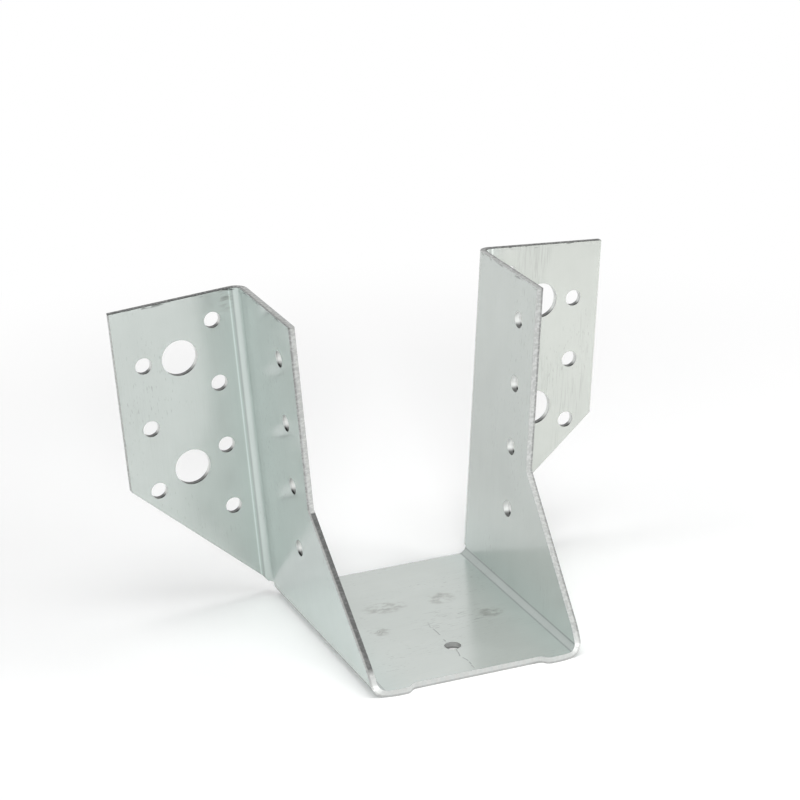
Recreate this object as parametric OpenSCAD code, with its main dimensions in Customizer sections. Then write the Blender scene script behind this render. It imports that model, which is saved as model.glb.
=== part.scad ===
// Joist hanger: one galvanised sheet, cut to a flat blank and folded.
// The seat carries the joist, two legs stand at its sides, and a flange
// on each leg turns outward to lie against the header.
// The header face is the plane y = depth / 2, and the seat's underside is z = 0.

/* [Joist pocket] */
// Clear width between the legs at the seat
joist_w = 62; // [44:1:140]
// Height of the legs above the seat's underside
height = 100; // [80:1:200]
// Depth of the seat, from the header face to its front corners
depth = 84; // [70:1:110]

/* [Sheet and folds] */
// Thickness of the sheet
sheet_t = 2; // [1.5:0.1:3]
// Inner radius of the folds between the seat and the legs
seat_fold_r = 2.5; // [1:0.1:3.5]
// Inner radius of the folds between the legs and the flanges
flange_fold_r = 2.5; // [1.5:0.1:4]
// Lean of each leg away from the joist before it is nailed tight
splay = 4; // [0:0.5:8]

/* [Blank outline] */
// Depth of the upper part of each leg, from the header face
leg_d = 43.5; // [38:0.5:60]
// How far a leg's slanted edge has come back from the front at its fold
leg_setback = 1.3; // [0.6:0.1:1.6]
// Width of each flange, from the joist side of its leg
flange_w = 42; // [38:0.5:60]
// Height at which the slanted lower edge of a flange leaves its fold
flange_foot = 6.5; // [6:0.5:16]
// Slope of the slanted edges
slant = 45; // [38:1:48]
// How far the middle of the seat's front edge is set back
front_setback = 2; // [1:0.5:4]
// Width of the full-depth corner beside each leg
front_corner_w = 10; // [6:1:14]
// Length of the curved step between corner and setback
front_step = 4; // [3:0.5:6]
// Radius of the curve from the seat's front edge into a leg's slanted edge
front_round = 20; // [14:1:24]

/* [Holes] */
// Diameter of the nail holes
nail_d = 5; // [3:0.5:6]
// Diameter of the bolt holes
bolt_d = 11; // [9:0.5:13]
// Distance between nail holes in one column
nail_pitch = 20; // [16:1:30]
// Distance between the bolt holes of one flange
bolt_pitch = 35; // [28:1:40]
// Inner nail column of a flange, from the joist side of its leg
inner_column = 11; // [10:0.5:13]
// Outer nail column, from the outer edge of the flange
outer_margin = 8.5; // [6:0.5:10]
// Top of a flange to its first inner nail hole
inner_top = 8.5; // [6:0.5:14]
// Top of a flange to its first outer nail hole and first bolt hole
outer_top = 18; // [14:0.5:24]
// Top of a leg to its first nail hole
leg_top = 13; // [8:0.5:20]
// Header face to the nail column of a leg
leg_column = 32.5; // [20:0.5:33]
// Least distance from a nail hole's centre to a slanted edge or to the seat
nail_edge = 4.5; // [4:0.5:8]
// Least distance from a bolt hole's centre to a slanted edge
bolt_edge = 12; // [9:0.5:16]
// Front corners of the seat to its nail hole
seat_nail_front = 19.5; // [12:0.5:30]

/* [Hidden] */
$fn = 96;
cut = 1; // how far a cutting shape runs past the metal

// Seat fold: its axis runs front to back, beside the edge of the flat seat.
fold_x = joist_w / 2 - seat_fold_r * tan(45 - splay / 2);
fold_z = sheet_t + seat_fold_r;
seat_fold_out = seat_fold_r + sheet_t;
// A leg leans and a fold does not, so no face of one can lie exactly on a face
// of the other. The seat folds are drawn a hair inside the faces of the sheet,
// and their ends run on by half a hair inside the flat metal.
hair = 0.002;
lap = hair / 2 / seat_fold_out * 180 / PI;
// Flange fold: the seat and the legs end at its front.
flange_fold_out = flange_fold_r + sheet_t;
rear = -flange_fold_out;

// A wing is one leg with its flange. Its own frame stands on the seat
// fold's axis: x outward, y = 0 at the header face, z up along the leg.
wing_h = (height - fold_z + seat_fold_r * sin(splay)) / cos(splay);
knee_z = (depth - leg_setback - leg_d) * tan(slant);
flange_x = seat_fold_r + flange_fold_out;
edge_x = seat_fold_r + flange_w;
foot_z = flange_foot - fold_z;
corner_z = foot_z + (edge_x - flange_x) * tan(slant);

// Front edge of the flat blank, with u from the seat's middle out along a
// leg. It is straight, then curves back over the fold and runs into the
// leg's slanted edge.
middle_r = seat_fold_r + sheet_t / 2;
leg_u = fold_x + middle_r * (90 - splay) * PI / 180;
corner_u = leg_u - leg_setback * tan(slant);
round_u = corner_u - front_round * tan(45 - slant / 2);
round_end = round_u + front_round * cos(slant);
function front_y(u) = u < round_u ? -depth
    : u < round_end ? front_round - depth - sqrt(pow(front_round, 2) - pow(u - round_u, 2))
    : (u - corner_u) / tan(slant) - depth;

// Nail and bolt columns, in the wing's frame.
inner_x = seat_fold_r + inner_column;
outer_x = edge_x - outer_margin;
bolt_x = (inner_x + outer_x) / 2;

// Height of the flange's lower edge at x.
function lower_edge(x) = foot_z + (x - flange_x) * tan(slant);
// Heights of a column of holes: down from the top, no lower than the last.
function column(top, pitch, last) = [for (z = [wing_h - top : -pitch : last]) z];
// Lowest hole centre over a slanted edge, at a distance square to that edge.
function above_edge(x, edge) = lower_edge(x) + edge / cos(slant);

// Outline of the flat seat. The middle of its front edge is set back.
module seat_outline() {
    difference() {
        translate([-fold_x, -depth]) square([2 * fold_x, depth + rear]);
        front_cut();
        mirror([1, 0]) front_cut();
    }
}

// What is cut from the right half of the seat's front: the setback, the curved
// step that ends it, and the start of the curve that runs on over the fold.
module front_cut() {
    step_x = joist_w / 2 - front_corner_w;
    step_r = (pow(front_step, 2) + pow(front_setback, 2)) / (4 * front_setback);
    middle = step_x - front_step / 2;
    translate([-cut, -depth - step_r]) square([middle + cut, step_r + front_setback]);
    translate([middle, front_setback - depth - step_r]) circle(step_r);
    difference() {
        translate([step_x, -depth - step_r]) square([front_step / 2, step_r + front_setback / 2]);
        translate([step_x + front_step / 2, step_r - depth]) circle(step_r);
    }
    difference() {
        translate([round_u, -depth - cut]) square([fold_x - round_u + cut, cut + front_round]);
        translate([round_u, front_round - depth]) circle(front_round);
    }
}

module seat() {
    difference() {
        linear_extrude(sheet_t) seat_outline();
        translate([0, seat_nail_front - depth, -cut]) cylinder(h = sheet_t + 2 * cut, d = nail_d);
    }
}

// A fan of flat steps round a fold's axis, from low to high at each angle. It
// trims the fold along an edge of the blank that winds round it.
module fan(angles, low, high, inner_r) {
    last = len(angles) - 1;
    function at(r, i, z) = [r * cos(angles[i]), r * sin(angles[i]), z];
    near_r = inner_r - cut;
    far_r = inner_r + sheet_t + cut;
    points = [for (i = [0 : last])
        each [at(near_r, i, low[i]), at(far_r, i, low[i]), at(far_r, i, high[i]), at(near_r, i, high[i])]];
    walls = [for (i = [0 : last - 1], k = [0 : 3]) let (n = (k + 1) % 4)
        each [[4 * i + k, 4 * i + n, 4 * i + 4 + n], [4 * i + k, 4 * i + 4 + n, 4 * i + 4 + k]]];
    polyhedron(points, concat(walls, [[3, 2, 1, 0]], [[for (k = [0 : 3]) 4 * last + k]]));
}

module seat_fold() {
    length = depth + rear - 2 * hair;
    steps = 12;
    turns = [for (i = [0 : steps + 1]) (90 - splay) * i / steps];
    front = [for (a = turns) rear - 2 * hair - front_y(fold_x + middle_r * a * PI / 180)];
    translate([fold_x, rear - hair, fold_z]) rotate([90, 0, 0]) difference() {
        rotate([0, 0, -90 - lap]) rotate_extrude(angle = 90 - splay + 2 * lap)
            translate([seat_fold_r + hair, 0]) square([sheet_t - 2 * hair, length]);
        fan([for (a = turns) a - 90], front, [for (a = turns) length + cut], seat_fold_r);
    }
}

module leg() {
    round_z = max(0, round_end - leg_u);
    foot = [for (k = [0 : 6]) if (k == 0 || round_z > 0) let (z = round_z * k / 6) [front_y(leg_u + z), z]];
    outline = concat([[rear, 0]], foot, [[-leg_d, knee_z], [-leg_d, wing_h], [rear, wing_h]]);
    difference() {
        translate([seat_fold_r, 0, 0]) rotate([90, 0, 90]) linear_extrude(sheet_t) polygon(outline);
        for (z = column(leg_top, nail_pitch, nail_edge + nail_pitch / 2))
            translate([seat_fold_r - cut, -leg_column, z]) rotate([0, 90, 0])
                cylinder(h = sheet_t + 2 * cut, d = nail_d);
    }
}

// The flange's slanted edge runs on round this fold and loses height there,
// along the sheet's middle line.
module flange_fold() {
    drop = (flange_fold_r + sheet_t / 2) * tan(slant) * PI / 180;
    angles = [for (a = [-7.5 : 7.5 : 97.5]) a];
    low = min(0, foot_z - drop * 97.5) - cut;
    translate([flange_x, rear, 0]) rotate([0, 0, 90]) difference() {
        rotate_extrude(angle = 90) translate([flange_fold_r, 0]) square([sheet_t, wing_h]);
        fan(angles, [for (a = angles) low], [for (a = angles) foot_z - drop * a], flange_fold_r);
    }
}

module flange() {
    outline = [[flange_x, foot_z], [edge_x, corner_z], [edge_x, wing_h], [flange_x, wing_h]];
    difference() {
        rotate([90, 0, 0]) linear_extrude(sheet_t) polygon(outline);
        flange_holes(inner_x, column(inner_top, nail_pitch, above_edge(inner_x, nail_edge)), nail_d);
        flange_holes(outer_x, column(outer_top, nail_pitch, above_edge(outer_x, nail_edge)), nail_d);
        flange_holes(bolt_x, column(outer_top, bolt_pitch, above_edge(bolt_x, bolt_edge)), bolt_d);
    }
}

module flange_holes(x, heights, d) {
    for (z = heights) translate([x, cut, z]) rotate([90, 0, 0])
        cylinder(h = sheet_t + 2 * cut, d = d);
}

module wing() {
    seat_fold();
    translate([fold_x, 0, fold_z]) rotate([0, splay, 0]) {
        leg();
        flange_fold();
        flange();
    }
}

module hanger() {
    color([0.76, 0.80, 0.78]) translate([0, depth / 2, 0]) {
        seat();
        wing();
        mirror([1, 0, 0]) wing();
    }
}

hanger();
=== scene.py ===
from collections import namedtuple
import math

import bmesh
import bpy
from mathutils import Matrix, Vector


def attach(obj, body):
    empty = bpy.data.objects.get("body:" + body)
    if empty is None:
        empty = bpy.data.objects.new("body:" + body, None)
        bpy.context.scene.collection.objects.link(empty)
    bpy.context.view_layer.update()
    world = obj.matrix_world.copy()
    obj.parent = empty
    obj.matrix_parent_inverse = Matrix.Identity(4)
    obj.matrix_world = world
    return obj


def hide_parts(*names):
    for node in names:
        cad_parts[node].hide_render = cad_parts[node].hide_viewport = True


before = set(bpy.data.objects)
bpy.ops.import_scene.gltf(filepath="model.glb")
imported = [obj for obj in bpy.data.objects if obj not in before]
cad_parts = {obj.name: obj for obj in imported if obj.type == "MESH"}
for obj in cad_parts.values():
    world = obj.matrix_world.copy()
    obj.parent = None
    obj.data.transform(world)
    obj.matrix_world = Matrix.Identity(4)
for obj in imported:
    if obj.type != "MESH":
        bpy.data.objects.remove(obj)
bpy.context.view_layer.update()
MM = 0.001

# ---------------------------------------------------------------- sizes, mm
JOIST_W, HEIGHT, DEPTH = 62.0, 100.0, 84.0
SHEET_T, SEAT_FOLD_R, FLANGE_FOLD_R, SPLAY = 2.0, 2.5, 2.5, 4.0
LEG_D, LEG_SETBACK, FLANGE_W, FLANGE_FOOT, SLANT = 43.5, 1.3, 42.0, 6.5, 45.0
FRONT_SETBACK, FRONT_CORNER_W, FRONT_STEP, FRONT_ROUND = 2.0, 10.0, 4.0, 20.0
NAIL_D, BOLT_D, NAIL_PITCH, BOLT_PITCH = 5.0, 11.0, 20.0, 35.0
INNER_COLUMN, OUTER_MARGIN, INNER_TOP, OUTER_TOP = 11.0, 8.5, 8.5, 18.0
LEG_TOP, LEG_COLUMN, NAIL_EDGE, BOLT_EDGE, SEAT_NAIL_FRONT = 13.0, 32.5, 4.5, 12.0, 19.5

FOLD_STEPS = 12          # flat strips in each fold
STEP_SIDES = 6           # straight sides in each half of a curved step
ROUND_SIDES = 12         # straight sides in the curve of a front corner
HOLE_SIDES = 56
EDGE_BREAK = 0.16        # rounding of the sheared edges
EDGE_SIDES = 3           # straight sides in that rounding
EDGE_ANGLE = 50.0        # degrees, over which an edge is rounded
MAP_SPAN = 200.0         # length on the flat blank that the map's whole width stands for
ON_LINE = 1e-5           # a cut takes a point this near as one on its line
PAST_LINE = 1e-4         # and a fold turns the points that lie farther out than this

half_t = SHEET_T / 2
fold_x = JOIST_W / 2 - SEAT_FOLD_R * math.tan(math.radians(45 - SPLAY / 2))
fold_z = SHEET_T + SEAT_FOLD_R
rear = -(FLANGE_FOLD_R + SHEET_T)
wing_h = (HEIGHT - fold_z + SEAT_FOLD_R * math.sin(math.radians(SPLAY))) / math.cos(math.radians(SPLAY))
rise = math.tan(math.radians(SLANT))


def strip(angle, inner_r):
    """Width of one flat strip of a fold, along the sheet's middle plane."""
    return 2 * (inner_r + half_t) * math.tan(math.radians(angle / FOLD_STEPS / 2))


seat_strip = strip(90 - SPLAY, SEAT_FOLD_R)
flange_strip = strip(90, FLANGE_FOLD_R)
# In the flat blank, u runs from the seat out along a leg and v towards the header.
leg_u = fold_x + FOLD_STEPS * seat_strip
top_u = leg_u + wing_h
flange_v = rear + FOLD_STEPS * flange_strip
outer_v = flange_v + FLANGE_W - FLANGE_FOLD_R - SHEET_T
foot_u = leg_u + FLANGE_FOOT - fold_z
# The front edge curves back over the fold into the leg's slanted edge.
corner_u = leg_u - LEG_SETBACK * rise
round_u = corner_u - FRONT_ROUND * math.tan(math.radians(45 - SLANT / 2))


def blank_outline():
    """Right half of the flat blank's outline, from the middle of the front edge."""
    step_x = JOIST_W / 2 - FRONT_CORNER_W
    step_r = (FRONT_STEP ** 2 + FRONT_SETBACK ** 2) / (4 * FRONT_SETBACK)
    sweep = math.asin(FRONT_STEP / 2 / step_r)
    bends = [sweep * i / STEP_SIDES for i in range(STEP_SIDES + 1)]
    points = [(0, FRONT_SETBACK - DEPTH)]
    points += [(step_x - FRONT_STEP / 2 + step_r * math.sin(a),
                FRONT_SETBACK - DEPTH - step_r * (1 - math.cos(a))) for a in bends]
    points += [(step_x + FRONT_STEP / 2 - step_r * math.sin(a),
                -DEPTH + step_r * (1 - math.cos(a))) for a in reversed(bends[:-1])]
    for i in range(ROUND_SIDES + 1):
        a = math.radians((90 - SLANT) * i / ROUND_SIDES)
        points.append((round_u + FRONT_ROUND * math.sin(a), -DEPTH + FRONT_ROUND * (1 - math.cos(a))))
    points += [(corner_u + (DEPTH - LEG_D) * rise, -LEG_D), (top_u, -LEG_D),
               (top_u, outer_v), (foot_u + (outer_v - flange_v) * rise, outer_v),
               (foot_u, flange_v), (leg_u, flange_v - (foot_u - leg_u) / rise),
               (leg_u, rear), (0, rear)]
    return points


def column(v, top, pitch, last, diameter):
    """A column of holes on a leg or flange: down from the top, none below the last height."""
    z, holes = wing_h - top, []
    while z >= last:
        holes.append((leg_u + z, v, diameter))
        z -= pitch
    return holes


def above_edge(v, distance):
    """Height on a flange of a centre at a distance square to the slanted edge."""
    return foot_u - leg_u + (v - flange_v) * rise + distance / math.cos(math.radians(SLANT))


def blank_holes():
    """Centres and diameters of all the holes in the flat blank."""
    inner_v = flange_v + INNER_COLUMN - FLANGE_FOLD_R - SHEET_T
    outer_hole_v = outer_v - OUTER_MARGIN
    bolt_v = (inner_v + outer_hole_v) / 2
    holes = column(-LEG_COLUMN, LEG_TOP, NAIL_PITCH, NAIL_EDGE + NAIL_PITCH / 2, NAIL_D)
    holes += column(inner_v, INNER_TOP, NAIL_PITCH, above_edge(inner_v, NAIL_EDGE), NAIL_D)
    holes += column(outer_hole_v, OUTER_TOP, NAIL_PITCH, above_edge(outer_hole_v, NAIL_EDGE), NAIL_D)
    holes += column(bolt_v, OUTER_TOP, BOLT_PITCH, above_edge(bolt_v, BOLT_EDGE), BOLT_D)
    holes += [(-u, v, d) for u, v, d in holes]
    return holes + [(0, SEAT_NAIL_FRONT - DEPTH, NAIL_D)]


# ---------------------------------------------------------------- mesh
PUNCHED, SILL = 0, 1     # groups of points: on a hole's wall, and how far down that wall, for the painted light and painted shade on the wall
SEAT_SILL = 0.68         # the seat's hole has no lower side, so its wall has one weight and one painted shade all round
CUT_EDGE, ARRIS = 1, 2   # places of these materials on the sheet, after the zinc
FACE_PULL = 80           # how much the large faces set the shading of their edges


def ring(bm, points):
    """A closed line through the points."""
    verts = [bm.verts.new((x, y, 0)) for x, y in points]
    for a, b in zip(verts, verts[1:] + verts[:1]):
        bm.edges.new((a, b))


def punch(bm, u, v, diameter):
    """A hole's circle, with its wall's weights."""
    weights = bm.verts.layers.deform.verify()
    circle = bmesh.ops.create_circle(bm, segments=HOLE_SIDES, radius=diameter / 2,
                                     matrix=Matrix.Translation((u, v, 0)))
    for vert in circle["verts"]:
        below = (abs(u) - abs(vert.co.x)) / (diameter / 2)
        vert[weights][PUNCHED] = 1.0
        vert[weights][SILL] = min(max(below, 0.0), 1.0) if abs(u) > leg_u else SEAT_SILL


def cut(bm, point, normal):
    """A straight cut through the flat sheet, which leaves both sides in place."""
    bmesh.ops.bisect_plane(bm, geom=bm.verts[:] + bm.edges[:] + bm.faces[:], dist=ON_LINE,
                           plane_co=(*point, 0), plane_no=(*normal, 0))


def flat_blank():
    """The flat sheet's middle plane, cut into strips where it will be folded."""
    bm = bmesh.new()
    right = blank_outline()
    left = [(-x, y) for x, y in reversed(right) if x > 0]
    ring(bm, right + left)
    for u, v, diameter in blank_holes():
        punch(bm, u, v, diameter)
    bmesh.ops.triangle_fill(bm, edges=bm.edges[:], use_beauty=True, normal=(0, 0, 1))
    for i in range(FOLD_STEPS):
        cut(bm, (0, rear + (i + 0.5) * flange_strip), (0, 1))
        for side in (-1, 1):
            cut(bm, (side * (fold_x + (i + 0.5) * seat_strip), 0), (1, 0))
    layer = bm.loops.layers.uv.new("blank")
    for face in bm.faces:
        for loop in face.loops:
            loop[layer].uv = (loop.vert.co.x / MAP_SPAN + 0.5, loop.vert.co.y / MAP_SPAN + 0.5)
    return bm


def fold(bm, flat, outward, start, width, angle):
    """Bend what lies outward of a fold about the lines of its strips, the farthest line first:
    up for an angle over 0, and down for one under it. flat holds the points' places on the blank."""
    axis = outward.cross(Vector((0, 0, 1)))
    for i in reversed(range(FOLD_STEPS)):
        reach = start + (i + 0.5) * width
        turned = [v for v in bm.verts if flat[v].dot(outward) > reach + PAST_LINE]
        bmesh.ops.rotate(bm, verts=turned, cent=outward * reach,
                         matrix=Matrix.Rotation(math.radians(angle / FOLD_STEPS), 3, axis))


def folded_sheet():
    """The folded sheet, given its thickness and broken edges by modifiers."""
    bm = flat_blank()
    flat = {v: v.co.copy() for v in bm.verts}
    fold(bm, flat, Vector((0, 1, 0)), rear, flange_strip, -90)
    for side in (-1, 1):
        fold(bm, flat, Vector((side, 0, 0)), fold_x, seat_strip, 90 - SPLAY)
    bmesh.ops.translate(bm, verts=bm.verts[:], vec=(0, DEPTH / 2, half_t))
    bmesh.ops.scale(bm, verts=bm.verts[:], vec=(MM, MM, MM))
    mesh = bpy.data.meshes.new("hanger_sheet")
    bm.to_mesh(mesh)
    bm.free()
    mesh.shade_smooth()
    piece = bpy.data.objects.new("hanger_sheet", mesh)
    bpy.context.scene.collection.objects.link(piece)
    for group in ("punched", "sill"):
        piece.vertex_groups.new(name=group)
    thicken(piece)
    break_edges(piece)
    return piece


def thicken(piece):
    """Thickness to both sides of the middle plane, with weights that run across the cut edge."""
    thick = piece.modifiers.new("sheet", "SOLIDIFY")
    thick.thickness = SHEET_T * MM
    thick.offset = 0
    thick.use_even_offset = True
    thick.use_quality_normals = True
    thick.material_offset_rim = CUT_EDGE
    thick.shell_vertex_group = piece.vertex_groups.new(name="across").name


def break_edges(piece):
    """Small roundings where the faces meet the cut edges."""
    edge = piece.modifiers.new("edges", "BEVEL")
    edge.width = EDGE_BREAK * MM
    edge.segments = EDGE_SIDES
    edge.limit_method = "ANGLE"
    edge.angle_limit = math.radians(EDGE_ANGLE)
    edge.miter_outer = "MITER_ARC"
    edge.use_clamp_overlap = True
    edge.material = ARRIS
    # The bevel can carry a weight a little past 0 or 1, and these bring it back.
    for group in piece.vertex_groups:
        piece.modifiers.new(group.name, "VERTEX_WEIGHT_EDIT").vertex_group = group.name
    shading = piece.modifiers.new("shading", "WEIGHTED_NORMAL")
    shading.weight = FACE_PULL
    shading.keep_sharp = False


# ---------------------------------------------------------------- materials
METALLIC = 0.6
ZINC = (0.532, 0.566, 0.542)
COOL_ZINC = (0.510, 0.568, 0.546)
DULL_ZINC = (0.535, 0.548, 0.51)
BARE_STEEL = (0.455, 0.465, 0.455)
ZINC_ROUGHNESS, STEEL_ROUGHNESS = 0.13, 0.42

# Each finish has a tone, a roughness and a height in mm, and each mark adds its share to them.
ZINC_TONE = 0.965
# Along the flange fold a bright line is partly wear from rubbing and partly a painted highlight, and the
# dark lines beside the folds and the darker seat folds are painted shade.
ZINC_MARKS = {"mottle": 0.10, "streaks": 0.045, "rolled": -0.15, "flecks": -0.22,
              "rub_and_highlight": 0.42, "crease_shade": -0.30, "seat_fold_shade": -0.24,
              "chips": -0.60, "stain": -0.40, "scuffs": -0.30, "dashes": -0.24,
              "scratch": -0.42, "ridge": 0.08}
ZINC_ROUGH_MARKS = {"mottle": 0.10, "worn": 0.03, "dull": 0.06, "rub_and_highlight": 0.05}
ZINC_RELIEF = {"waves": 0.05, "streaks": 0.0012, "scratch": -0.01}
STEEL_TONE = 0.84
# Painted light makes the hole walls and the seat's front edge lighter, and painted shade darkens the
# left leg's slanted edge and the walls low in the holes.
STEEL_MARKS = {"specks": 0.26, "dark": -0.78, "inner": -0.34, "light_line": 0.75,
               "punched": 0.62, "front": 0.28, "sill": -1.2}
STEEL_ROUGH_MARKS = {"specks": -0.1, "dark": 0.1}
STEEL_RELIEF = {"specks": 0.012}
# The arris is dark partly as broken zinc and partly as painted shade along the edges.
ARRIS_TONE = 0.20
ARRIS_MARKS = {"rub": 0.45, "punched": 0.15}
ARRIS_ROUGH_MARKS = {"rub": -0.08}

# Noise for each mark: its size in mm along u and v, its detail and its shift. A patch also has
# the two levels of its noise at which it begins and is full.
CLOUDS = {"streaks": ((26, 0.55), 4, 1.7), "mottle": ((11, 8), 3, 5.3),
          "wander": ((30, 6), 2, 4.4), "waves": ((24, 20), 1, 8.8)}
PATCHES = {"worn": ((34, 24), 2, 3.9, 0.47, 0.62),
           "rolled_lines": ((9, 0.34), 3, 15.2, 0.50, 0.64),
           "rolled_areas": ((24, 10), 2, 8.2, 0.48, 0.66),
           "flecks": ((2.2, 0.5), 3, 9.1, 0.60, 0.70),
           "chips": ((1.0, 4.5), 4, 12.0, 0.55, 0.63),
           "stain": ((0.9, 3.5), 3, 2.2, 0.42, 0.6),
           "scuffs": ((2.6, 1.8), 4, 7.7, 0.38, 0.66),
           "dashes": ((3.4, 0.42), 2, 21.3, 0.60, 0.66),
           "broken": ((9, 3), 2, 6.1, 0.42, 0.5),
           "specks": ((0.7, 0.7), 3, 3.3, 0.42, 0.62),
           "rub": ((2.5, 2.5), 4, 6.6, 0.5, 0.68)}

# Lines beside the folds, the flange's bright line partly wear from rubbing and partly a painted
# highlight, and the others painted shade: where each lies from the fold's start or end, and its half
# width.
FLANGE_RUB_HIGHLIGHT, FLANGE_SHADE_LINE = (0.35, 0.42), (-0.75, 0.7)
SEAT_SHADE_LINE, LEG_SHADE_LINE = (0.9, 0.6), (-1.0, 0.6)
# From either side of a seat fold to where its painted shade begins and is full.
FOLD_SHADE_SPAN = (0.4, 1.4)
# The stain at the top of the left flange's fold, as such a line, and from the top down to
# where it starts to fade and ends.
STAIN_LINE, STAIN_FADE = (1.6, 3.2), (1.0, 9.0)
# From the top edge down to where the chips are full, and to where they end.
CHIP_FADE = (0.2, 1.1)
# Centres and half sizes of the soft marks on the seat, in u and v.
SEAT_SCUFFS = (((-7.7, -31.9), (8.0, 4.6)), ((10.1, -32.5), (5.5, 5.0)),
               ((19.6, -48.2), (4.5, 4.0)), ((-15.6, -46.8), (3.6, 3.4)))
SEAT_DASHES = ((8.0, -47.0), (19.0, 10.0))
# The scratch's place and half width across the seat, its bright ridge, and how far it wanders.
SCRATCH, RIDGE, WANDER = (-1.9, 0.38), (-1.55, 0.28), 3.0
# From the seat's front to where the scratch begins, is full, starts to fade and ends.
SCRATCH_RUN = (1.0, 6.0, 30.0, 40.0)
# Strength of the heavy streaks all over, and what the right flange adds to it.
ROLLED_ALL, ROLLED_FLANGE = 0.25, 0.75
# Shares of the cooler zinc low on both sides and on the flanges, and of the duller zinc in the
# dull marks and on the right flange.
COOL_LOW, COOL_FLANGE, DULL_MARKS, DULL_FLANGE = 0.8, 0.25, 0.5, 0.6
# How dark the top edges are on the legs and on the flanges, and how much painted shade darkens the left
# leg's slanted edge.
TOP_DARK, SLANT_SHADE = (0.18, 0.85), 0.84
# How smooth that slanted edge is, and the share of the specks that a smooth place keeps.
SLANT_SMOOTH, SPECKS_KEPT = 0.75, 0.25

Surface = namedtuple("Surface", "place u v side")


def feed(tree, value, socket):
    """Give a socket its number, or link it."""
    if isinstance(value, (int, float)):
        socket.default_value = value
    else:
        tree.links.new(value, socket)


def calc(tree, operation, *values):
    """One step of arithmetic."""
    step = tree.nodes.new("ShaderNodeMath")
    step.operation = operation
    for value, socket in zip(values, step.inputs):
        feed(tree, value, socket)
    return step.outputs[0]


def product(tree, first, *others):
    """All the values multiplied."""
    for other in others:
        first = calc(tree, "MULTIPLY", first, other)
    return first


def largest(tree, first, *others):
    """The largest of the values."""
    for other in others:
        first = calc(tree, "MAXIMUM", first, other)
    return first


def total(tree, start, *pairs):
    """The sum of a number and of pairs of a value and its share."""
    for value, share in pairs:
        start = calc(tree, "MULTIPLY_ADD", value, share, start)
    return start


def marked(tree, tone, marks, shares):
    """A tone after each named mark has added its share."""
    return total(tree, tone, *((marks[name], share) for name, share in shares.items()))


def fade(tree, value, start, end, low=0.0, high=1.0):
    """A smooth change from low at start to high at end."""
    step = tree.nodes.new("ShaderNodeMapRange")
    step.interpolation_type = "SMOOTHSTEP"
    for name, number in (("From Min", start), ("From Max", end), ("To Min", low), ("To Max", high)):
        step.inputs[name].default_value = number
    feed(tree, value, step.inputs["Value"])
    return step.outputs["Result"]


def band(tree, value, centre, width):
    """1 along a line, and 0 from width away from it."""
    away = calc(tree, "ABSOLUTE", calc(tree, "SUBTRACT", value, centre))
    return fade(tree, away, 0.0, width, 1.0, 0.0)


def beside(tree, value, start, line):
    """A line that lies this far from a start, and has this half width."""
    return band(tree, value, start + line[0], line[1])


def blank_surface(tree):
    """The place on the flat blank in millimetres, its u and v, and u without its sign."""
    uv = tree.nodes.new("ShaderNodeUVMap")
    uv.uv_map = "blank"
    place = tree.nodes.new("ShaderNodeMapping")
    place.inputs["Scale"].default_value = (MAP_SPAN, MAP_SPAN, 1)
    place.inputs["Location"].default_value = (-MAP_SPAN / 2, -MAP_SPAN / 2, 0)
    tree.links.new(uv.outputs["UV"], place.inputs["Vector"])
    parts = tree.nodes.new("ShaderNodeSeparateXYZ")
    tree.links.new(place.outputs["Vector"], parts.inputs["Vector"])
    u, v = parts.outputs["X"], parts.outputs["Y"]
    return Surface(place.outputs["Vector"], u, v, calc(tree, "ABSOLUTE", u))


def noise_field(tree, place, size, detail, shift):
    """Noise with marks of about this size in mm, along u and along v."""
    sized = tree.nodes.new("ShaderNodeMapping")
    sized.inputs["Scale"].default_value = (1 / size[0], 1 / size[1], 1)
    sized.inputs["Location"].default_value = (shift, -shift, shift)
    tree.links.new(place, sized.inputs["Vector"])
    noise = tree.nodes.new("ShaderNodeTexNoise")
    noise.inputs["Scale"].default_value = 1.0
    noise.inputs["Detail"].default_value = detail
    tree.links.new(sized.outputs["Vector"], noise.inputs["Vector"])
    return noise.outputs[0]


def cloud(tree, place, name):
    """The soft noise of this name."""
    return noise_field(tree, place, *CLOUDS[name])


def patches(tree, place, name):
    """The noise of this name, made into patches."""
    size, detail, shift, begins, full = PATCHES[name]
    return fade(tree, noise_field(tree, place, size, detail, shift), begins, full)


def smudge(tree, surface, centre, size):
    """1 inside a soft oval patch on the flat blank."""
    x = calc(tree, "DIVIDE", calc(tree, "SUBTRACT", surface.u, centre[0]), size[0])
    y = calc(tree, "DIVIDE", calc(tree, "SUBTRACT", surface.v, centre[1]), size[1])
    away = calc(tree, "ADD", product(tree, x, x), product(tree, y, y))
    return fade(tree, away, 0.25, 1.0, 1.0, 0.0)


def weight(tree, name):
    """A vertex group's weight."""
    group = tree.nodes.new("ShaderNodeAttribute")
    group.attribute_name = name
    return group.outputs["Fac"]


def shade(tree, colour, tone):
    """A colour made lighter or darker by a tone."""
    step = tree.nodes.new("ShaderNodeVectorMath")
    step.operation = "SCALE"
    step.inputs[0].default_value = colour
    tree.links.new(tone, step.inputs["Scale"])
    return step.outputs["Vector"]


def tint(tree, amount, first, second):
    """The first colour, gone over to the second by an amount."""
    step = tree.nodes.new("ShaderNodeMix")
    step.data_type = "RGBA"
    # A mix of colours has its two colours in sockets 6 and 7, and its result in socket 2.
    tree.links.new(amount, step.inputs[0])
    tree.links.new(first, step.inputs[6])
    tree.links.new(second, step.inputs[7])
    return step.outputs[2]


def relief(tree, height, shader):
    """Bump from a height in millimetres."""
    bump = tree.nodes.new("ShaderNodeBump")
    bump.inputs["Strength"].default_value = 1.0
    bump.inputs["Distance"].default_value = MM
    tree.links.new(height, bump.inputs["Height"])
    tree.links.new(bump.outputs["Normal"], shader.inputs["Normal"])


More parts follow.
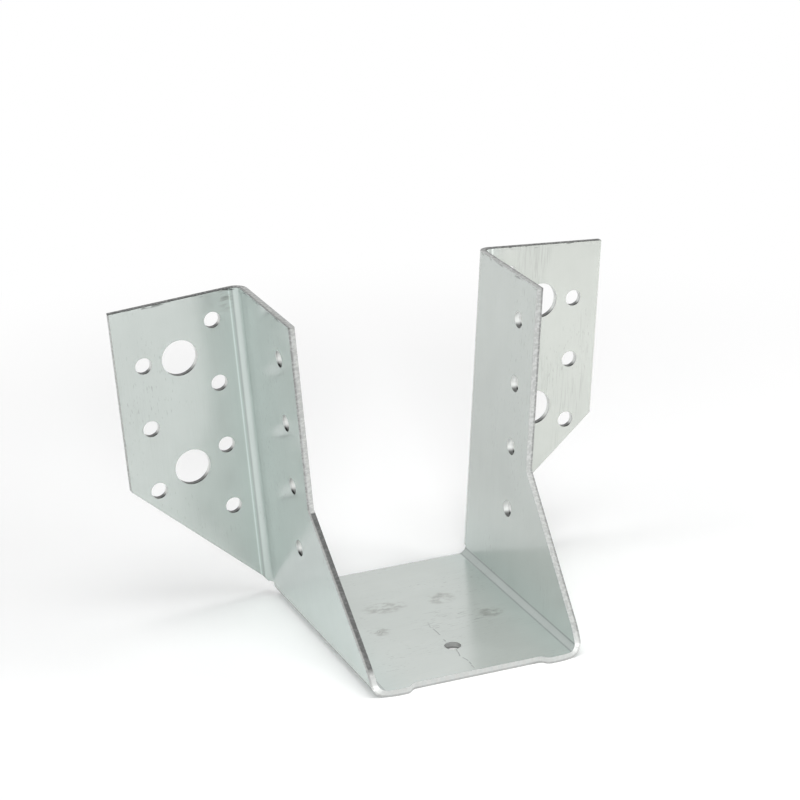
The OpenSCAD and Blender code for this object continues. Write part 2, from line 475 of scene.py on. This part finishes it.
def metal(name):
    """A new metal material, with its nodes and its shader."""
    mat = bpy.data.materials.new(name)
    mat.use_nodes = True
    shader = mat.node_tree.nodes["Principled BSDF"]
    shader.inputs["Metallic"].default_value = METALLIC
    return mat, mat.node_tree, shader


def rolling_marks(tree, surface, right_flange):
    """Fine streaks along the rolling direction, soft mottling, flecks, and heavier streaks
    that are strongest on the right flange."""
    place = surface.place
    worn = patches(tree, place, "worn")
    rolled = product(tree, patches(tree, place, "rolled_lines"), patches(tree, place, "rolled_areas"),
                     total(tree, ROLLED_ALL, (right_flange, ROLLED_FLANGE)))
    return {"streaks": cloud(tree, place, "streaks"),
            "mottle": cloud(tree, place, "mottle"),
            "rolled": rolled,
            "worn": worn,
            "flecks": product(tree, patches(tree, place, "flecks"), worn)}


def folding_marks(tree, surface):
    """A bright line at the flange, partly wear from rubbing and partly a painted highlight, and painted
    shade in dark lines beside the folds and in the seat folds.
    """
    crease_shade = largest(tree, beside(tree, surface.v, flange_v, FLANGE_SHADE_LINE),
                      beside(tree, surface.side, fold_x, SEAT_SHADE_LINE),
                      beside(tree, surface.side, leg_u, LEG_SHADE_LINE))
    begins, full = FOLD_SHADE_SPAN
    seat_fold_shade = product(tree, fade(tree, surface.side, fold_x + begins, fold_x + full),
                      fade(tree, surface.side, leg_u - full, leg_u - begins, 1, 0))
    rub_and_highlight = beside(tree, surface.v, flange_v, FLANGE_RUB_HIGHLIGHT)
    return {"rub_and_highlight": rub_and_highlight, "crease_shade": crease_shade, "seat_fold_shade": seat_fold_shade}


def top_marks(tree, surface):
    """Chips along the top edge, and a stain at the top of the left flange's fold."""
    chips = product(tree, fade(tree, surface.side, top_u - CHIP_FADE[1], top_u - CHIP_FADE[0]),
                    patches(tree, surface.place, "chips"))
    stain = product(tree, fade(tree, surface.u, STAIN_FADE[0] - top_u, STAIN_FADE[1] - top_u, 1, 0),
                    beside(tree, surface.v, flange_v, STAIN_LINE),
                    patches(tree, surface.place, "stain"))
    return {"chips": chips, "stain": stain}


def seat_marks(tree, surface):
    """Soft scuffs and short dashes on the seat, and one broken scratch with a bright ridge."""
    place = surface.place
    ovals = largest(tree, *(smudge(tree, surface, centre, size) for centre, size in SEAT_SCUFFS))
    across = calc(tree, "SUBTRACT", surface.u, product(tree, cloud(tree, place, "wander"), WANDER))
    begins, full, fades, ends = (distance - DEPTH for distance in SCRATCH_RUN)
    broken = product(tree, fade(tree, surface.v, begins, full), fade(tree, surface.v, fades, ends, 1, 0),
                     patches(tree, place, "broken"))
    return {"scuffs": product(tree, ovals, patches(tree, place, "scuffs")),
            "dashes": product(tree, smudge(tree, surface, *SEAT_DASHES), patches(tree, place, "dashes")),
            "scratch": product(tree, band(tree, across, *SCRATCH), broken),
            "ridge": product(tree, band(tree, across, *RIDGE), broken)}


def coat_colour(tree, surface, tone, right_flange, dull):
    """Zinc that is a little cooler low down and on the left leg, and duller and warmer
    in its stains and on the right flange."""
    left_leg = fade(tree, surface.u, -leg_u - 3, -fold_x, 1, 0)
    low = fade(tree, surface.side, leg_u + 24, fold_x, 0, COOL_LOW)
    off_seat = fade(tree, surface.side, fold_x - 12, fold_x + 3)
    cool = product(tree, off_seat, largest(tree, left_leg, low),
                   fade(tree, surface.v, rear, flange_v + 12, 1, COOL_FLANGE))
    duller = largest(tree, product(tree, dull, DULL_MARKS), product(tree, right_flange, DULL_FLANGE))
    coat = tint(tree, cool, shade(tree, ZINC, tone), shade(tree, COOL_ZINC, tone))
    return tint(tree, duller, coat, shade(tree, DULL_ZINC, tone))


def zinc_sheet():
    """The rolled zinc face of the sheet."""
    mat, tree, shader = metal("zinc_sheet")
    surface = blank_surface(tree)
    right_flange = product(tree, fade(tree, surface.u, leg_u, leg_u + 20),
                           fade(tree, surface.v, flange_v, flange_v + 5))
    marks = {**rolling_marks(tree, surface, right_flange), **folding_marks(tree, surface),
             **top_marks(tree, surface), **seat_marks(tree, surface)}
    marks["dull"] = largest(tree, marks["scuffs"], marks["stain"])
    marks["waves"] = cloud(tree, surface.place, "waves")
    tone = marked(tree, ZINC_TONE, marks, ZINC_MARKS)
    colour = coat_colour(tree, surface, tone, right_flange, marks["dull"])
    tree.links.new(colour, shader.inputs["Base Color"])
    tree.links.new(marked(tree, ZINC_ROUGHNESS, marks, ZINC_ROUGH_MARKS), shader.inputs["Roughness"])
    relief(tree, marked(tree, 0.0, marks, ZINC_RELIEF), shader)
    return mat


def sheared_edge():
    """The cut edge of the sheet: grey torn steel with bright specks, fewer in the holes and at the
    front.
    Painted light makes the hole walls and the seat's front edge lighter. It is darker along the tops
    and towards one face, and painted shade darkens the left leg's slanted edge and the walls low in the
    holes."""
    mat, tree, shader = metal("sheared_edge")
    surface = blank_surface(tree)
    across, punched, sill = (weight(tree, name) for name in ("across", "punched", "sill"))
    spot = tree.nodes.new("ShaderNodeCombineXYZ")
    for value, socket in zip((surface.u, surface.v, product(tree, across, SHEET_T)), spot.inputs):
        feed(tree, value, socket)
    top = product(tree, fade(tree, surface.side, top_u - 0.6, top_u - 0.3),
                  fade(tree, surface.v, rear - 1, flange_v + 1, *TOP_DARK))
    # The left leg's slanted edge, which takes painted shade.
    slanted = product(tree, fade(tree, surface.u, -corner_u - 5, -corner_u - 3, 1, 0),
                      fade(tree, surface.v, -LEG_D - 1.0, -LEG_D - 0.4, 1, 0))
    # The seat's front edge, which painted light makes lighter.
    front = fade(tree, surface.v, 2.2 - DEPTH, 4.5 - DEPTH, 1, 0)
    smooth = largest(tree, punched, front, product(tree, slanted, SLANT_SMOOTH))
    specks = product(tree, patches(tree, spot.outputs[0], "specks"),
                     fade(tree, smooth, 0.0, 1.0, 1.0, SPECKS_KEPT))
    dark = largest(tree, top, product(tree, slanted, SLANT_SHADE))
    inner = fade(tree, across, 0.62, 0.8)
    # The hole walls take painted light, and their low parts painted shade.
    marks = {"specks": specks, "dark": dark, "inner": inner,
             "light_line": product(tree, inner, slanted), "punched": punched, "front": front,
             "sill": fade(tree, sill, 0.45, 0.9)}
    tone = marked(tree, STEEL_TONE, marks, STEEL_MARKS)
    tree.links.new(shade(tree, BARE_STEEL, tone), shader.inputs["Base Color"])
    tree.links.new(marked(tree, STEEL_ROUGHNESS, marks, STEEL_ROUGH_MARKS), shader.inputs["Roughness"])
    relief(tree, marked(tree, 0.0, marks, STEEL_RELIEF), shader)
    return mat


def arris():
    """The thin line where a face meets a cut edge: mostly dark, partly as broken zinc and partly as
    painted shade, and bright in rub marks.
    """
    mat, tree, shader = metal("arris")
    surface = blank_surface(tree)
    marks = {"rub": patches(tree, surface.place, "rub"), "punched": weight(tree, "punched")}
    tone = marked(tree, ARRIS_TONE, marks, ARRIS_MARKS)
    tree.links.new(shade(tree, BARE_STEEL, tone), shader.inputs["Base Color"])
    tree.links.new(marked(tree, STEEL_ROUGHNESS, marks, ARRIS_ROUGH_MARKS), shader.inputs["Roughness"])
    return mat


sheet = folded_sheet()
for made in (zinc_sheet(), sheared_edge(), arris()):
    sheet.data.materials.append(made)
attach(sheet, "root")
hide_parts("hanger")

# ---------------------------------------------------------------- stage
WORLD_FILL = 0.22        # strength of the even studio light
FLOOR_HALF = 3.0         # m, as are the other lengths here
FLOOR_TONE = 0.97
FLOOR_SHOWN = 0.98       # the floor's tone where it is seen
WHITE_STARTS, WHITE_FULL = 0.17, 0.36    # distances over which the seen floor goes over into white
# Each lamp's azimuth and height in degrees, distance and size, and power in watts.
LAMPS = {"low_light": (64, 8, 0.7, 0.25, 2.9),
         "left_light": (-85, 30, 1.8, 1.4, 10.5),
         "front_light": (-20, 17, 1.8, 0.5, 13.2),
         "top_light": (0, 85, 1.8, 1.4, 18.5)}


def seen(tree):
    """1 for a ray that sees a surface, directly, in metal or through glass, and 0 for light."""
    path = tree.nodes.new("ShaderNodeLightPath")
    kinds = ("Is Camera Ray", "Is Glossy Ray", "Is Transmission Ray")
    return largest(tree, *(path.outputs[kind] for kind in kinds))


def either(tree, choice, low, high):
    """A number that is low where choice is 0 and high where it is 1."""
    pick = tree.nodes.new("ShaderNodeMapRange")
    pick.inputs["To Min"].default_value = low
    pick.inputs["To Max"].default_value = high
    tree.links.new(choice, pick.inputs["Value"])
    return pick.outputs["Result"]


def floor_material():
    """A pale matt floor that goes over into a white backdrop away from the part."""
    mat = bpy.data.materials.new("pale_floor")
    mat.use_nodes = True
    tree = mat.node_tree
    shader = tree.nodes["Principled BSDF"]
    shader.inputs["Roughness"].default_value = 1.0
    shader.inputs["Specular IOR Level"].default_value = 0.0
    look = seen(tree)
    tree.links.new(either(tree, look, FLOOR_TONE, FLOOR_SHOWN), shader.inputs["Base Color"])
    place = tree.nodes.new("ShaderNodeTexCoord")
    away = tree.nodes.new("ShaderNodeVectorMath")
    away.operation = "LENGTH"
    tree.links.new(place.outputs["Object"], away.inputs[0])
    white = tree.nodes.new("ShaderNodeEmission")
    mix = tree.nodes.new("ShaderNodeMixShader")
    share = product(tree, look, fade(tree, away.outputs["Value"], WHITE_STARTS, WHITE_FULL))
    tree.links.new(share, mix.inputs[0])
    tree.links.new(shader.outputs[0], mix.inputs[1])
    tree.links.new(white.outputs[0], mix.inputs[2])
    tree.links.new(mix.outputs[0], tree.nodes["Material Output"].inputs["Surface"])
    return mat


def pale_floor():
    """The floor that the part stands on."""
    bm = bmesh.new()
    bmesh.ops.create_grid(bm, x_segments=1, y_segments=1, size=FLOOR_HALF)
    mesh = bpy.data.meshes.new("floor")
    bm.to_mesh(mesh)
    bm.free()
    mesh.materials.append(floor_material())
    floor = bpy.data.objects.new("floor", mesh)
    bpy.context.scene.collection.objects.link(floor)


def studio():
    """Even light from all round, with a white backdrop for the rays that see it."""
    world = bpy.data.worlds.new("studio")
    bpy.context.scene.world = world
    world.use_nodes = True
    tree = world.node_tree
    background = tree.nodes["Background"]
    background.inputs["Color"].default_value = (1, 1, 1, 1)
    tree.links.new(either(tree, seen(tree), WORLD_FILL, 1.0), background.inputs["Strength"])


def softbox(name, azimuth, height, distance, size, power):
    """A square lamp that looks at the part. Azimuth 0 is in front, and 90 is at its right."""
    lamp = bpy.data.lights.new(name, "AREA")
    lamp.shape = "SQUARE"
    lamp.size = size
    lamp.energy = power
    box = bpy.data.objects.new(name, lamp)
    az, el = math.radians(azimuth), math.radians(height)
    away = Vector((math.sin(az) * math.cos(el), -math.cos(az) * math.cos(el), math.sin(el)))
    box.location = away * distance + Vector((0, 0, HEIGHT / 2 * MM))
    box.rotation_euler = (-away).to_track_quat("-Z", "Y").to_euler()
    box.visible_camera = False
    bpy.context.scene.collection.objects.link(box)


pale_floor()
studio()
for lamp_name, setting in LAMPS.items():
    softbox(lamp_name, *setting)

# ---------------------------------------------------------------- camera
# Place in metres, turns in degrees, and lens and sensor in millimetres.
CAMERA_PLACE = (-0.2989, -0.7064, 0.3609)
CAMERA_TURN, CAMERA_TILT, CAMERA_ROLL = -22.55, 90 - 20.69, -1.30
LENS, SENSOR = 127.0, 36.0

camera_data = bpy.data.cameras.new("camera")
camera_data.lens = LENS
camera_data.sensor_width = SENSOR
camera = bpy.data.objects.new("camera", camera_data)
bpy.context.scene.collection.objects.link(camera)
camera.matrix_world = (
    Matrix.Translation(CAMERA_PLACE)
    @ Matrix.Rotation(math.radians(CAMERA_TURN), 4, "Z")
    @ Matrix.Rotation(math.radians(CAMERA_TILT), 4, "X")
    @ Matrix.Rotation(math.radians(CAMERA_ROLL), 4, "Z"))
bpy.context.scene.camera = camera

bpy.context.scene.view_settings.view_transform = "Standard"

bpy.context.view_layer.update()
